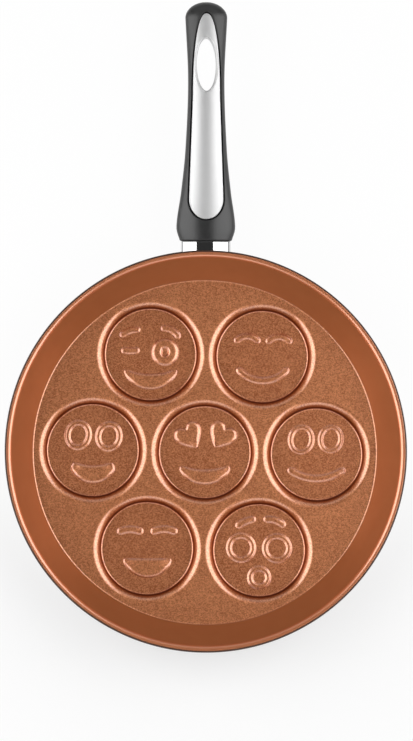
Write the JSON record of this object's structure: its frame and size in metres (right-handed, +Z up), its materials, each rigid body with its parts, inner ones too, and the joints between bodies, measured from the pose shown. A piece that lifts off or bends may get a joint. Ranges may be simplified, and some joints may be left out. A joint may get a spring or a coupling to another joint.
{
  "type": "pancake pan",
  "caption": "Round frying pan with recessed face moulds in its floor for small pancakes, a flared wall, and a waisted handle with a steel inlay and a hanging hole.",
  "frame": {"origin": "centre of the base's underside, where the pan stands on a hob", "axes": "+Z up out of the pan, +Y along the handle away from the pan, +X to the right with the handle pointing away"},
  "size_m": [0.26, 0.4223, 0.0409],
  "materials": {
    "copper_coat": "cast aluminium with a copper-coloured non-stick coat, grainy on the floor and satin on the wall",
    "polished_steel": "polished stainless steel",
    "charcoal_phenolic": "matt charcoal phenolic",
    "plain_steel": "zinc-plated steel"
  },
  "bodies": {
    "root": {"pan_body": "copper_coat", "flame_guard": "polished_steel", "handle_grip": "charcoal_phenolic", "handle_inlay": "polished_steel", "handle_bracket": "plain_steel", "bracket_rivet_left": "plain_steel", "bracket_rivet_right": "plain_steel", "tang_nut": "plain_steel", "handle_screw": "plain_steel", "spring_washer": "plain_steel", "flat_washer": "plain_steel"}
  },
  "joints": []
}
